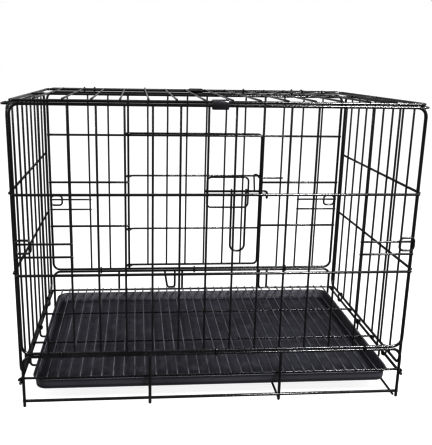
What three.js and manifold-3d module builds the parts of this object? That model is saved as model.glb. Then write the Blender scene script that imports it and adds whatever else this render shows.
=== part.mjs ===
// Folding wire dog crate: base with floor grid and slide-out tray, four folding
// panels, a lid, a door with a slide bolt, and the wire rings that hinge them.
// Millimetres, +Z up. X runs along the long panels, the door is on the +Y side,
// and the origin is on the ground under the middle of the crate.

import * as THREE from 'three';
import { mergeVertices } from 'three/addons/utils/BufferGeometryUtils.js';
import Module from 'manifold-3d';

const wasm = await Module();
wasm.setup();

// ---- driving dimensions ----------------------------------------------------

// puts the middle of the crate's depth, catches and handle included, at Y = 0
const SHIFT_Y = -5.1;

// wire radii
const FRAME_R = 2.0;
const BAR_R = 1.6;
const WIRE_R = 1.3;
const FLOOR_R = 1.1;
const RING_R = 1.2;
const CATCH_R = 1.4;

// wires that cross and are welded sink this far into each other
const WELD = 0.5;
// pieces that touch without a weld keep this gap
const GAP = 0.4;

// long panels (back at -Y, front with the door at +Y)
const PANEL_HALF = 300;
const PANEL_Y = 200;
const PANEL_BOTTOM = 90;
const PANEL_TOP = 469;
const FRONT_TOP = 461;
const CORNER = 14;
const INTERVALS = 15;
const PITCH = (2 * PANEL_HALF) / INTERVALS;
const BAR_HALF = PANEL_HALF + 1.5;
// short pairs of wires near each end of a long panel, which brace the catches
const PAIR_INNER = PANEL_HALF - 2 * PITCH - 2;
const BACK_PAIR_Z = [246, 266];
const FRONT_PAIR_Z = [222, 243];

// side panels
const SIDE_X = 304.5;
const SIDE_HALF = 189;
const SIDE_BOTTOM = 52.5;
const SIDE_TOP = 466;
const SIDE_SLOPE = 4.5;
const SIDE_INTERVALS = 9;
const SIDE_PITCH = (2 * SIDE_HALF) / SIDE_INTERVALS;
const BAR_HEIGHTS = [217.5, 340];

// base
const BASE_X = 300;
const HOOP_TOP = 85;
const HOOP_CORNER = 14;
const GROUND_BAR_Z = 10;
const GROUND_BAR_R = 2;
const HOOP_UPRIGHT_X = 104;
const RAIL_X = 304.3;
const RAIL_Z = 41.5;
const RAIL_END = 203;
const CROSS_Z = 45.4;
const CROSS_Y = 193;
const CROSS_R = 1.5;
const FLOOR_WIRES = 34;
const FLOOR_HALF = 282;
const RUNNER_BACK_Y = -105;
const RUNNER_FRONT_Y = 10;
const RUNNER_R = 1.4;
const TIE_R = 1.4;
const TIE_Z = 2.4;

// tray
const TRAY_HALF = 289;
const TRAY_BACK = -193.5;
const TRAY_FRONT = 184;
const TRAY_TOP = 43.2;
const TRAY_BOTTOM = 24.6;
const TRAY_CORNER = 22;
const TRAY_WALL = 2;
const TRAY_RIM = 4;
const TRAY_RIM_HEIGHT = 2.4;
const TRAY_FLOOR = 31;
const TRAY_GUTTER = 27;
const TRAY_GUTTER_WIDTH = 15;

// lid
const LID_Z = 466.5;
const LID_HALF = 298.5;
const LID_BACK = -200;
const LID_FRONT = 194.5;
const LID_SHIFT = -6;
const LID_LEAN = THREE.MathUtils.degToRad(1);
const ROD_Y = 205.4;
const ROD_Z = 466.5;
const ROD_R = 2.8;
const ROD_HALF = 290;
const CURL_R = 4.3;
const CURL_WIRE_R = 1.1;
const LID_WIRE_Z = LID_Z + FRAME_R + WIRE_R - WELD - 0.1;
const LID_BAR_Z = LID_WIRE_Z - WIRE_R - BAR_R + WELD;
const LID_CATCH_X = -4.5;
const LID_CATCH_LENGTH = 24;

// door, hung on the fourth upright of the front panel
const HINGE_X = -3.5 * PITCH;
const POST_R = 1.75;
const DOOR_Y = PANEL_Y + 4.3;
const DOOR_R = 1.75;
const DOOR_RIGHT = 137;
const DOOR_BOTTOM = 98;
const DOOR_TOP = 380;
const DOOR_BARS = [178, 292];
const DOOR_BAR_R = 1.5;
const DOOR_BAR_Y = DOOR_Y + WIRE_R + DOOR_BAR_R - WELD;
const OPENING_TOP = 377;
const FRONT_BAR_HEIGHTS = [186, 279.5];

// slide bolt on the outside of the door
const GUIDE_X = [25, 113];
const GUIDE_Z = [223.5, 288.6];
const GUIDE_R = 1.5;
const GUIDE_Y = DOOR_Y + WIRE_R + GUIDE_R + GAP;
const BOLT_R = 2;
const BOLT_Y = GUIDE_Y + GUIDE_R + GAP + BOLT_R;
const BOLT_Z = 257.5;
const BOLT_X = [20.5, 154.5];
const BOLT_TIP = 16;
const STAPLE_R = 1.2;
const STAPLE_REACH = 3.9;
const HANDLE_X = [78, 109];
const HANDLE_R = 1.8;
const HANDLE_EYE = 4.1;
const HANDLE_BOTTOM = 125;

const BLACK_WIRE = { color: 0x0d0e10, roughness: 0.28, metalness: 0.55 };
const BLACK_PLASTIC = { color: 0x1b1d21, roughness: 0.5, metalness: 0 };

// ---- wire and solid helpers --------------------------------------------------

const v3 = (x, y, z) => new THREE.Vector3(x, y, z);

// A closed geometry as a solid, turned right side out.
function solid(geometry) {
  const bare = geometry.clone();
  bare.deleteAttribute('normal');
  bare.deleteAttribute('uv');
  const merged = mergeVertices(bare, 1e-4);
  const vertProperties = Float32Array.from(merged.attributes.position.array);
  const triVerts = Uint32Array.from(merged.index.array);
  if (signedVolume(vertProperties, triVerts) < 0) {
    for (let i = 0; i < triVerts.length; i += 3) {
      [triVerts[i], triVerts[i + 1]] = [triVerts[i + 1], triVerts[i]];
    }
  }
  return new wasm.Manifold(new wasm.Mesh({ numProp: 3, vertProperties, triVerts }));
}

function signedVolume(positions, triangles) {
  const [a, b, c] = [v3(), v3(), v3()];
  let six = 0;
  for (let i = 0; i < triangles.length; i += 3) {
    a.fromArray(positions, 3 * triangles[i]);
    b.fromArray(positions, 3 * triangles[i + 1]);
    c.fromArray(positions, 3 * triangles[i + 2]);
    six += a.dot(b.cross(c));
  }
  return six / 6;
}

// A unit vector square to a direction: the path's own plane where it has one.
function startNormal(directions, closed) {
  const first = closed ? directions.at(-1) : directions[0];
  const plane = v3();
  for (let i = 1; i < directions.length; i += 1) {
    plane.add(directions[i - 1].clone().cross(directions[i]));
  }
  if (plane.length() < 1e-6) {
    plane.copy(Math.abs(first.y) < 0.5 ? v3(0, 1, 0) : v3(0, 0, 1));
  }
  return plane.addScaledVector(first, -plane.dot(first)).normalize();
}

// The corners of a wire's section at each point of its path, mitred at the bends.
function sections(points, radius, sides, closed) {
  const n = points.length;
  const directions = [];
  for (let i = 0; i < (closed ? n : n - 1); i += 1) {
    directions.push(points[(i + 1) % n].clone().sub(points[i]).normalize());
  }
  const normal = startNormal(directions, closed);
  const turn = new THREE.Quaternion();
  return points.map((point, i) => {
    const before = closed ? directions.at(i - 1) : directions[Math.max(i - 1, 0)];
    const after = closed ? directions[i] : directions[Math.min(i, n - 2)];
    const mitre = before.clone().add(after).normalize();
    const side = before.clone().cross(normal);
    const corners = [];
    for (let k = 0; k < sides; k += 1) {
      const angle = (2 * Math.PI * k) / sides;
      const corner = normal.clone().multiplyScalar(radius * Math.cos(angle));
      corner.addScaledVector(side, radius * Math.sin(angle));
      corner.addScaledVector(before, -corner.dot(mitre) / before.dot(mitre));
      corners.push(corner.add(point));
    }
    normal.applyQuaternion(turn.setFromUnitVectors(before, after));
    return corners;
  });
}

// A wire swept along a path of straight pieces, open with flat ends or closed.
function sweep(points, radius, sides, closed) {
  const rings = sections(points, radius, sides, closed);
  const index = [];
  for (let i = 0; i < (closed ? rings.length : rings.length - 1); i += 1) {
    const [here, next] = [i * sides, ((i + 1) % rings.length) * sides];
    for (let k = 0; k < sides; k += 1) {
      const m = (k + 1) % sides;
      index.push(here + k, next + k, next + m, here + k, next + m, here + m);
    }
  }
  if (!closed) {
    const last = (rings.length - 1) * sides;
    for (let k = 2; k < sides; k += 1) {
      index.push(0, k - 1, k, last, last + k, last + k - 1);
    }
  }
  const geometry = new THREE.BufferGeometry().setFromPoints(rings.flat());
  geometry.setIndex(index);
  return solid(geometry);
}

const wire = (points, radius, sides = 6) => sweep(points, radius, sides, false);
const loop = (points, radius, sides = 6) => sweep(points, radius, sides, true);

// Points with each corner between the ends replaced by an arc of the given radius.
function rounded(corners, radius, steps = 3, closed = false) {
  const out = [];
  const n = corners.length;
  corners.forEach((corner, i) => {
    if (!closed && (i === 0 || i === n - 1)) {
      out.push(corner);
      return;
    }
    const into = corner.clone().sub(corners[(i + n - 1) % n]).normalize();
    const away = corners[(i + 1) % n].clone().sub(corner).normalize();
    const turn = into.angleTo(away);
    const reach = radius * Math.tan(turn / 2);
    const start = corner.clone().addScaledVector(into, -reach);
    const inward = away.clone().addScaledVector(into, -away.dot(into)).normalize();
    const centre = start.clone().addScaledVector(inward, radius);
    for (let k = 0; k <= steps; k += 1) {
      const angle = (turn * k) / steps;
      const point = centre.clone().addScaledVector(inward, -radius * Math.cos(angle));
      out.push(point.addScaledVector(into, radius * Math.sin(angle)));
    }
  });
  return out;
}

// Points on an arc in the plane of two unit vectors, angles in degrees.
function arc(centre, along, up, radius, from, to, steps) {
  const out = [];
  for (let k = 0; k <= steps; k += 1) {
    const angle = THREE.MathUtils.degToRad(from + ((to - from) * k) / steps);
    const point = centre.clone().addScaledVector(along, radius * Math.cos(angle));
    out.push(point.addScaledVector(up, radius * Math.sin(angle)));
  }
  return out;
}

// An oval ring round two parallel wires whose centres are a and b.
function ovalRing(a, b, radius, steps = 5) {
  const across = b.clone().sub(a).normalize();
  const axis = Math.abs(across.x) < 1e-9 ? v3(1, 0, 0) : v3(0, 1, 0);
  const up = axis.clone().cross(across);
  const first = arc(a, across, up, radius, 90, 270, steps);
  const second = arc(b, across, up, radius, 270, 450, steps);
  return loop([...first, ...second], RING_R, 4);
}

const join = (solids) => solids.reduce((whole, next) => whole.add(next));

const parts = new THREE.Group();

function addPart(name, body, look) {
  const mesh = body.getMesh();
  const geometry = new THREE.BufferGeometry();
  geometry.setAttribute('position', new THREE.BufferAttribute(mesh.vertProperties, 3));
  geometry.setIndex(new THREE.BufferAttribute(mesh.triVerts, 1));
  geometry.computeVertexNormals();
  const part = new THREE.Mesh(geometry, new THREE.MeshStandardMaterial(look));
  part.name = name;
  part.position.y = SHIFT_Y;
  parts.add(part);
}

// ---- panels ------------------------------------------------------------------

const longUprights = Array.from({ length: INTERVALS - 1 }, (_, i) => (i + 1) * PITCH - PANEL_HALF);
const sideUprights = Array.from({ length: SIDE_INTERVALS - 1 }, (_, i) => (i + 1) * SIDE_PITCH - SIDE_HALF);

const across = (x0, x1, y, z, radius, sides = 6) => wire([v3(x0, y, z), v3(x1, y, z)], radius, sides);
const along = (x, y0, y1, z, radius, sides = 6) => wire([v3(x, y0, z), v3(x, y1, z)], radius, sides);
const upright = (x, y, z0, z1, radius, sides = 4) => wire([v3(x, y, z0), v3(x, y, z1)], radius, sides);

function longFrame(y) {
  const top = y > 0 ? FRONT_TOP : PANEL_TOP;
  const corners = [
    v3(-PANEL_HALF, y, PANEL_BOTTOM),
    v3(PANEL_HALF, y, PANEL_BOTTOM),
    v3(PANEL_HALF, y, top),
    v3(-PANEL_HALF, y, top),
  ];
  const path = rounded(corners, CORNER, 3, true);
  return loop(path, FRAME_R);
}

// The two short pairs of wires near the ends of a long panel.
function endPairs(y, heights) {
  const pieces = [];
  for (const z of heights) {
    pieces.push(across(-BAR_HALF, -PAIR_INNER, y, z, WIRE_R, 4));
    pieces.push(across(PAIR_INNER, BAR_HALF, y, z, WIRE_R, 4));
  }
  return pieces;
}

const barOffset = WIRE_R + BAR_R - WELD;
const pairOffset = 2 * WIRE_R - WELD;

function backPanel() {
  const pieces = [longFrame(-PANEL_Y)];
  for (const x of longUprights) {
    pieces.push(upright(x, -PANEL_Y, PANEL_BOTTOM, PANEL_TOP, WIRE_R));
  }
  for (const z of BAR_HEIGHTS) {
    pieces.push(across(-BAR_HALF, BAR_HALF, -PANEL_Y - barOffset, z, BAR_R));
  }
  pieces.push(...endPairs(-PANEL_Y - pairOffset, BACK_PAIR_Z));
  return join(pieces);
}

function frontPanel() {
  const pieces = [longFrame(PANEL_Y)];
  const inside = PANEL_Y - barOffset;
  for (const x of longUprights) {
    const overDoor = Math.abs(x) < -HINGE_X - 1;
    const besideDoor = Math.abs(Math.abs(x) + HINGE_X) < 1;
    const foot = overDoor ? OPENING_TOP - 2 : PANEL_BOTTOM;
    const post = upright(x, PANEL_Y, foot, FRONT_TOP, POST_R, 6);
    pieces.push(besideDoor ? post : upright(x, PANEL_Y, foot, FRONT_TOP, WIRE_R));
  }
  pieces.push(across(-BAR_HALF, BAR_HALF, inside, OPENING_TOP, BAR_R));
  for (const z of FRONT_BAR_HEIGHTS) {
    pieces.push(across(-BAR_HALF, HINGE_X + 1, inside, z, BAR_R));
    pieces.push(across(-HINGE_X - 1, BAR_HALF, inside, z, BAR_R));
  }
  pieces.push(...endPairs(PANEL_Y - pairOffset, FRONT_PAIR_Z));
  return join(pieces);
}

// The height of a side panel's top wire, which slopes down to the front as the lid does.
function sideTop(y) {
  return SIDE_TOP - (SIDE_SLOPE * (y + SIDE_HALF)) / (2 * SIDE_HALF);
}

// A side panel; side is -1 on the left and 1 on the right.
function sidePanel(side) {
  const x = side * SIDE_X;
  const corners = [
    v3(x, -SIDE_HALF, SIDE_BOTTOM),
    v3(x, SIDE_HALF, SIDE_BOTTOM),
    v3(x, SIDE_HALF, sideTop(SIDE_HALF)),
    v3(x, -SIDE_HALF, sideTop(-SIDE_HALF)),
  ];
  const path = rounded(corners, CORNER, 3, true);
  const pieces = [loop(path, FRAME_R)];
  for (const y of sideUprights) {
    pieces.push(upright(x, y, SIDE_BOTTOM, sideTop(y), WIRE_R));
  }
  const outside = x + side * barOffset;
  for (const z of BAR_HEIGHTS) {
    pieces.push(along(outside, -SIDE_HALF - 1, SIDE_HALF + 1, z, BAR_R));
  }
  pieces.push(cornerLoop(side));
  return join(pieces);
}

// The flat loop that stands out of a side panel's top wire, near the back corner.
function cornerLoop(side) {
  const start = 38;
  const end = 13;
  const reach = SIDE_X + 10;
  const z = SIDE_TOP + 1.2;
  const corners = [
    v3(side * SIDE_X, -SIDE_HALF + start, z),
    v3(side * reach, -SIDE_HALF + start, z),
    v3(side * reach, -SIDE_HALF + end, z),
    v3(side * SIDE_X, -SIDE_HALF + end, z),
  ];
  return wire(rounded(corners, 4, 3), 1.4, 4);
}

// A D-shaped corner catch on the outside of a long panel, round its end wire.
function cornerCatch(side, facing, heights) {
  const middle = (heights[0] + heights[1]) / 2 + 7;
  const y = facing * (PANEL_Y + pairOffset + WIRE_R + GAP + CATCH_R);
  const outer = side * (PANEL_HALF + 0.3);
  const inner = side * (PANEL_HALF - 22);
  const corners = [
    v3(outer, y, middle - 10),
    v3(inner, y, middle - 10),
    v3(inner, y, middle + 10),
    v3(outer, y, middle + 10),
  ];
  const path = rounded(corners, 6, 3, true);
  return loop(path, CATCH_R, 4);
}

// ---- base --------------------------------------------------------------------

function hoop(y) {
  const corners = [
    v3(-BASE_X, y, 0),
    v3(-BASE_X, y, HOOP_TOP),
    v3(BASE_X, y, HOOP_TOP),
    v3(BASE_X, y, 0),
  ];
  const bar = across(-BASE_X, BASE_X, y, GROUND_BAR_Z, GROUND_BAR_R);
  return wire(rounded(corners, HOOP_CORNER, 3), FRAME_R).add(bar);
}

function backHoop() {
  const uprights = [-HOOP_UPRIGHT_X, HOOP_UPRIGHT_X].map((x) => upright(x, -PANEL_Y, 0, HOOP_TOP, FRAME_R, 6));
  return join([hoop(-PANEL_Y), ...uprights]);
}

// The front hoop stays open below the floor, where the tray comes out.
function frontHoop() {
  const foot = TRAY_TOP + 2.3;
  const pieces = [hoop(PANEL_Y)];
  for (const x of [-162, -26, 143, 160]) {
    pieces.push(upright(x, PANEL_Y, foot, HOOP_TOP, BAR_R));
  }
  const corners = [
    v3(-64, PANEL_Y, HOOP_TOP),
    v3(-58, PANEL_Y, foot + BAR_R),
    v3(-42, PANEL_Y, foot + BAR_R),
    v3(-42, PANEL_Y, HOOP_TOP),
  ];
  pieces.push(wire(rounded(corners, 5, 3), BAR_R, 4));
  return join(pieces);
}

const baseRail = (side) => along(side * RAIL_X, -RAIL_END, RAIL_END, RAIL_Z, FRAME_R);

// A cross wire of the floor, its ends bent down over the rails.
function crossWire(y) {
  const bend = FRAME_R + CROSS_R + GAP;
  const down = (side) => arc(v3(side * RAIL_X, y, RAIL_Z), v3(side, 0, 0), v3(0, 0, 1), bend, 90, 5, 3);
  const left = down(-1).reverse();
  return wire([...left, ...down(1)], CROSS_R, 6);
}

function floorGrid() {
  const pieces = [];
  for (const k of [0, 1, 2, 3]) {
    pieces.push(crossWire(-CROSS_Y + (k * 2 * CROSS_Y) / 3));
  }
  const z = CROSS_Z + CROSS_R + FLOOR_R - WELD;
  for (let i = 0; i < FLOOR_WIRES; i += 1) {
    const x = -FLOOR_HALF + (i * 2 * FLOOR_HALF) / (FLOOR_WIRES - 1);
    pieces.push(along(x, -CROSS_Y - 2, CROSS_Y + 2, z, FLOOR_R, 4));
  }
  return join(pieces);
}

// A runner hangs from both rails by eyes and passes under the tray.
function trayRunner(y) {
  const z = TRAY_BOTTOM - GAP - RUNNER_R;
  const eye = FRAME_R + GAP + RUNNER_R;
  const x = RAIL_X;
  const corners = [
    v3(-x, y, RAIL_Z - eye),
    v3(-x, y, z),
    v3(x, y, z),
    v3(x, y, RAIL_Z - eye),
  ];
  const rings = [-1, 1].map((side) => {
    const centre = v3(side * x, y, RAIL_Z);
    return loop(arc(centre, v3(1, 0, 0), v3(0, 0, 1), eye, 0, 324, 9), RUNNER_R, 4);
  });
  return join([wire(rounded(corners, 5, 2), RUNNER_R, 4), ...rings]);
}

// A tie wire along the ground from behind a back foot, hooked up at its front end
// round the front hoop's bottom bar.
function groundTie(x) {
  const bend = GROUND_BAR_R + TIE_R + GAP;
  const back = v3(x, -PANEL_Y + FRAME_R + GAP, TIE_Z);
  const knee = v3(x, PANEL_Y - 16, TIE_Z);
  const bar = v3(x, PANEL_Y, GROUND_BAR_Z);
  return wire([back, knee, ...arc(bar, v3(0, 1, 0), v3(0, 0, 1), bend, -100, 130, 7)], TIE_R);
}

// ---- tray --------------------------------------------------------------------

function trayOutline(inset) {
  const r = Math.max(TRAY_CORNER - inset, 14);
  const [x, y0, y1] = [TRAY_HALF - inset, TRAY_BACK + inset, TRAY_FRONT - inset];
  const shape = new THREE.Shape();
  shape.moveTo(-x + r, y0);
  shape.absarc(x - r, y0 + r, r, -Math.PI / 2, 0);
  shape.absarc(x - r, y1 - r, r, 0, Math.PI / 2);
  shape.absarc(-x + r, y1 - r, r, Math.PI / 2, Math.PI);
  shape.absarc(-x + r, y0 + r, r, Math.PI, 1.5 * Math.PI);
  return shape;
}

function slab(shape, z0, z1) {
  const options = { depth: z1 - z0, bevelEnabled: false, curveSegments: 5 };
  return solid(new THREE.ExtrudeGeometry(shape, options)).translate([0, 0, z0]);
}

// The tray: an outer rim, thin walls, and a gutter round a raised floor.
function tray() {
  const inner = TRAY_RIM + TRAY_WALL;
  const body = slab(trayOutline(TRAY_RIM), TRAY_BOTTOM, TRAY_TOP);
  const rim = slab(trayOutline(0), TRAY_TOP - TRAY_RIM_HEIGHT, TRAY_TOP);
  const hollow = slab(trayOutline(inner), TRAY_GUTTER, TRAY_TOP + 1);
  const floor = slab(trayOutline(inner + TRAY_GUTTER_WIDTH), TRAY_BOTTOM, TRAY_FLOOR);
  return body.add(rim).subtract(hollow).add(floor);
}

// ---- lid ---------------------------------------------------------------------

const lidWires = longUprights.map((x) => x + LID_SHIFT);

// The lid is laid out flat and then leans on the back panel, which is a little
// taller than the front one.
function leaning(points) {
  return points.map((p) => {
    const [y, z] = [p.y - ROD_Y, p.z - ROD_Z];
    const [c, s] = [Math.cos(LID_LEAN), Math.sin(LID_LEAN)];
    return v3(p.x, ROD_Y + y * c + z * s, ROD_Z - y * s + z * c);
  });
}

// A curl of the lid's wire, open underneath, round the hinge rod.
function lidCurl(x) {
  const curl = arc(v3(x, ROD_Y, ROD_Z), v3(0, 1, 0), v3(0, 0, 1), CURL_R, 165, -125, 9);
  return wire(leaning([v3(x, LID_FRONT - 1, LID_Z), ...curl]), CURL_WIRE_R, 4);
}

function lid() {
  const corners = [
    v3(LID_HALF, LID_FRONT, LID_Z),
    v3(-LID_HALF, LID_FRONT, LID_Z),
    v3(-LID_HALF, LID_BACK, LID_Z),
    v3(LID_HALF, LID_BACK, LID_Z),
  ];
  const path = rounded(leaning(corners), 7, 3, true);
  const pieces = [loop(path, FRAME_R)];
  for (const x of lidWires) {
    const ends = [v3(x, LID_BACK - 1, LID_WIRE_Z), v3(x, LID_FRONT + 1, LID_WIRE_Z)];
    pieces.push(wire(leaning(ends), WIRE_R, 4));
  }
  const bar = [v3(-LID_HALF - 1, 0, LID_BAR_Z), v3(LID_HALF + 1, 0, LID_BAR_Z)];
  pieces.push(wire(leaning(bar), BAR_R));
  for (const i of [1, 4, 9, 12]) {
    pieces.push(lidCurl(lidWires[i]));
  }
  return join(pieces);
}

// The plastic catch that sits astride the middle of the lid's back wire, with a
// lip outside the back panel.
function lidCatch() {
  const slot = FRAME_R + GAP;
  const crown = [150, 120, 90, 60, 30].map((deg) => THREE.MathUtils.degToRad(deg));
  const foot = LID_Z - 2;
  const profile = [
    [LID_BACK - 6, LID_Z - 9.5],
    [LID_BACK - 3.6, LID_Z - 9.5],
    [LID_BACK - slot, foot],
    [LID_BACK - slot, LID_Z],
    ...crown.map((a) => [LID_BACK + slot * Math.cos(a), LID_Z + slot * Math.sin(a)]),
    [LID_BACK + slot, LID_Z],
    [LID_BACK + slot, foot],
    [LID_BACK + 4.4, foot],
    [LID_BACK + 4.4, LID_Z + 1.5],
    [LID_BACK + 2.5, LID_Z + 4],
    [LID_BACK - 3, LID_Z + 4],
    [LID_BACK - 6, LID_Z + 1],
  ];
  const placed = leaning(profile.map(([y, z]) => v3(0, y, z)));
  const shape = new THREE.Shape(placed.map((p) => new THREE.Vector2(p.y, p.z)));
  const length = LID_CATCH_LENGTH;
  const block = new THREE.ExtrudeGeometry(shape, { depth: length, bevelEnabled: false });
  const basis = new THREE.Matrix4().makeBasis(v3(0, 1, 0), v3(0, 0, 1), v3(1, 0, 0));
  block.applyMatrix4(basis.setPosition(LID_CATCH_X - length / 2, 0, 0));
  return solid(block);
}

// ---- door and bolt -------------------------------------------------------------

// The curl that hangs a door wire on the hinge upright, from its open end to the
// point where it meets the plane of the door.
function hingeCurl(z) {
  return arc(v3(HINGE_X, PANEL_Y, z), v3(1, 0, 0), v3(0, 1, 0), DOOR_Y - PANEL_Y, 345, 90, 8);
}

// A bar across the door, stepping out over the door's uprights next to the hinge.
function doorBar(z) {
  const step = v3(HINGE_X + 12, DOOR_BAR_Y, z);
  return wire([...hingeCurl(z), step, v3(DOOR_RIGHT + 1, DOOR_BAR_Y, z)], DOOR_BAR_R);
}

function door() {
  const corners = [
    v3(HINGE_X, DOOR_Y, DOOR_TOP),
    v3(DOOR_RIGHT, DOOR_Y, DOOR_TOP),
    v3(DOOR_RIGHT, DOOR_Y, DOOR_BOTTOM),
    v3(HINGE_X, DOOR_Y, DOOR_BOTTOM),
  ];
  const edge = rounded(corners, 9, 3).slice(1, -1);
  const path = [...hingeCurl(DOOR_TOP), ...edge, ...hingeCurl(DOOR_BOTTOM).reverse()];
  const pieces = [wire(path, DOOR_R)];
  for (const x of longUprights) {
    if (Math.abs(x) < -HINGE_X - 1) {
      pieces.push(upright(x, DOOR_Y, DOOR_BOTTOM, DOOR_TOP, WIRE_R));
    }
  }
  for (const z of DOOR_BARS) {
    pieces.push(doorBar(z));
  }
  return join(pieces);
}

// The wire on the panel's inside that the closed door and its bolt meet.
function doorKeeper() {
  const y = PANEL_Y - POST_R - GAP - WIRE_R;
  const z = BOLT_Z + 31.5;
  const corners = [
    v3(183, y, z),
    v3(134, y, z),
    v3(128, y, z + 8),
    v3(122, y, z + 7),
    v3(124.5, y, BOLT_Z + 2),
  ];
  return wire(rounded(corners, 3, 3), WIRE_R, 6);
}

// The rounded wire plate of the bolt, with a staple over the bolt on each short side.
function boltGuide() {
  const corners = [
    v3(GUIDE_X[0], GUIDE_Y, GUIDE_Z[0]),
    v3(GUIDE_X[1], GUIDE_Y, GUIDE_Z[0]),
    v3(GUIDE_X[1], GUIDE_Y, GUIDE_Z[1]),
    v3(GUIDE_X[0], GUIDE_Y, GUIDE_Z[1]),
  ];
  const path = rounded(corners, 9, 3, true);
  const pieces = [loop(path, GUIDE_R, 6)];
  for (const x of GUIDE_X) {
    const bend = arc(v3(x, BOLT_Y, BOLT_Z), v3(0, 0, 1), v3(0, 1, 0), STAPLE_REACH, 0, 180, 6);
    const top = v3(x, GUIDE_Y + 0.6, BOLT_Z + STAPLE_REACH);
    const bottom = v3(x, GUIDE_Y + 0.6, BOLT_Z - STAPLE_REACH);
    pieces.push(wire([top, ...bend, bottom], STAPLE_R, 4));
  }
  return join(pieces);
}

function bolt() {
  const corners = [
    v3(BOLT_X[0], BOLT_Y, BOLT_Z),
    v3(BOLT_X[1], BOLT_Y, BOLT_Z),
    v3(BOLT_X[1], BOLT_Y, BOLT_Z - BOLT_TIP),
  ];
  return wire(rounded(corners, 5, 3), BOLT_R, 8);
}

function boltHandle() {
  const ends = HANDLE_X.map((x) => v3(x, BOLT_Y, BOLT_Z - HANDLE_EYE));
  const feet = HANDLE_X.map((x) => v3(x, BOLT_Y, HANDLE_BOTTOM));
  const pieces = [wire(rounded([ends[0], feet[0], feet[1], ends[1]], 14, 5), HANDLE_R, 6)];
  for (const x of HANDLE_X) {
    const centre = v3(x, BOLT_Y, BOLT_Z);
    const ring = arc(centre, v3(0, 1, 0), v3(0, 0, 1), HANDLE_EYE, 0, 324, 9);
    pieces.push(loop(ring, HANDLE_R - 0.5, 4));
  }
  return join(pieces);
}

// ---- assembly ----------------------------------------------------------------

addPart('back_base_hoop', backHoop(), BLACK_WIRE);
addPart('front_base_hoop', frontHoop(), BLACK_WIRE);
addPart('left_base_rail', baseRail(-1), BLACK_WIRE);
addPart('right_base_rail', baseRail(1), BLACK_WIRE);
addPart('floor_grid', floorGrid(), BLACK_WIRE);
addPart('back_tray_runner', trayRunner(RUNNER_BACK_Y), BLACK_WIRE);
addPart('front_tray_runner', trayRunner(RUNNER_FRONT_Y), BLACK_WIRE);
addPart('left_ground_tie', groundTie(-HOOP_UPRIGHT_X), BLACK_WIRE);
addPart('middle_ground_tie', groundTie(HOOP_UPRIGHT_X), BLACK_WIRE);
addPart('right_ground_tie', groundTie(BASE_X - 4), BLACK_WIRE);
addPart('tray', tray(), BLACK_PLASTIC);

addPart('back_panel', backPanel(), BLACK_WIRE);
addPart('front_panel', frontPanel(), BLACK_WIRE);
addPart('left_side_panel', sidePanel(-1), BLACK_WIRE);
addPart('right_side_panel', sidePanel(1), BLACK_WIRE);

const sides = [['left', -1], ['right', 1]];
for (const [name, side] of sides) {
  addPart(`back_${name}_corner_catch`, cornerCatch(side, -1, BACK_PAIR_Z), BLACK_WIRE);
  addPart(`front_${name}_corner_catch`, cornerCatch(side, 1, FRONT_PAIR_Z), BLACK_WIRE);
}

// rings that hinge the long panels on the hoops, set between two uprights
const ringRadius = FRAME_R + GAP + RING_R;
for (const [panel, facing, reach] of [['back', -1, 6 * PITCH], ['front', 1, 5 * PITCH]]) {
  for (const [name, x] of [['left', -reach], ['middle', 0], ['right', reach]]) {
    const ends = [HOOP_TOP, PANEL_BOTTOM].map((z) => v3(x, facing * PANEL_Y, z));
    addPart(`${panel}_hinge_ring_${name}`, ovalRing(...ends, ringRadius), BLACK_WIRE);
  }
}

// rings that hinge the side panels on the base rails
for (const [name, side] of sides) {
  for (const [end, facing] of [['back', -1], ['front', 1]]) {
    const y = 3 * SIDE_PITCH * facing;
    const ends = [v3(side * RAIL_X, y, RAIL_Z), v3(side * SIDE_X, y, SIDE_BOTTOM)];
    addPart(`${name}_hinge_ring_${end}`, ovalRing(...ends, ringRadius), BLACK_WIRE);
  }
}

// lid, its hinge rod, and the clips that hold the rod on the front panel
addPart('lid_hinge_rod', across(-ROD_HALF, ROD_HALF, ROD_Y, ROD_Z, ROD_R, 8), BLACK_WIRE);
addPart('lid', lid(), BLACK_WIRE);
addPart('lid_catch', lidCatch(), BLACK_PLASTIC);
for (const [name, x] of [['left', LID_SHIFT - 5 * PITCH], ['right', LID_SHIFT + 5 * PITCH]]) {
  const ends = [v3(x, PANEL_Y, FRONT_TOP), v3(x, ROD_Y, ROD_Z)];
  addPart(`lid_hinge_clip_${name}`, ovalRing(...ends, ROD_R + GAP + RING_R), BLACK_WIRE);
}
addPart('lid_hinge_clip_middle', wideClip(-17, 10), BLACK_WIRE);

// A wide sheet-metal clip round the panel's top wire and the hinge rod.
function wideClip(x0, x1) {
  const lean = Math.atan2(ROD_Z - FRONT_TOP, ROD_Y - PANEL_Y);
  const reach = Math.hypot(ROD_Z - FRONT_TOP, ROD_Y - PANEL_Y);
  const oval = (radius) => {
    const shape = new THREE.Shape();
    shape.absarc(0, 0, radius, Math.PI / 2, 1.5 * Math.PI);
    shape.absarc(reach, 0, radius, -Math.PI / 2, Math.PI / 2);
    const options = { depth: x1 - x0, bevelEnabled: false, curveSegments: 5 };
    const geometry = new THREE.ExtrudeGeometry(shape, options).rotateZ(lean);
    const basis = new THREE.Matrix4().makeBasis(v3(0, 1, 0), v3(0, 0, 1), v3(1, 0, 0));
    geometry.applyMatrix4(basis.setPosition(x0, PANEL_Y, FRONT_TOP));
    return geometry;
  };
  const bore = solid(oval(ROD_R + GAP).scale(3, 1, 1));
  return solid(oval(ROD_R + GAP + 1.3)).subtract(bore);
}

addPart('door', door(), BLACK_WIRE);
addPart('door_keeper', doorKeeper(), BLACK_WIRE);
addPart('bolt_guide', boltGuide(), BLACK_WIRE);
addPart('bolt', bolt(), BLACK_WIRE);
addPart('bolt_handle', boltHandle(), BLACK_WIRE);

export default parts;
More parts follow.
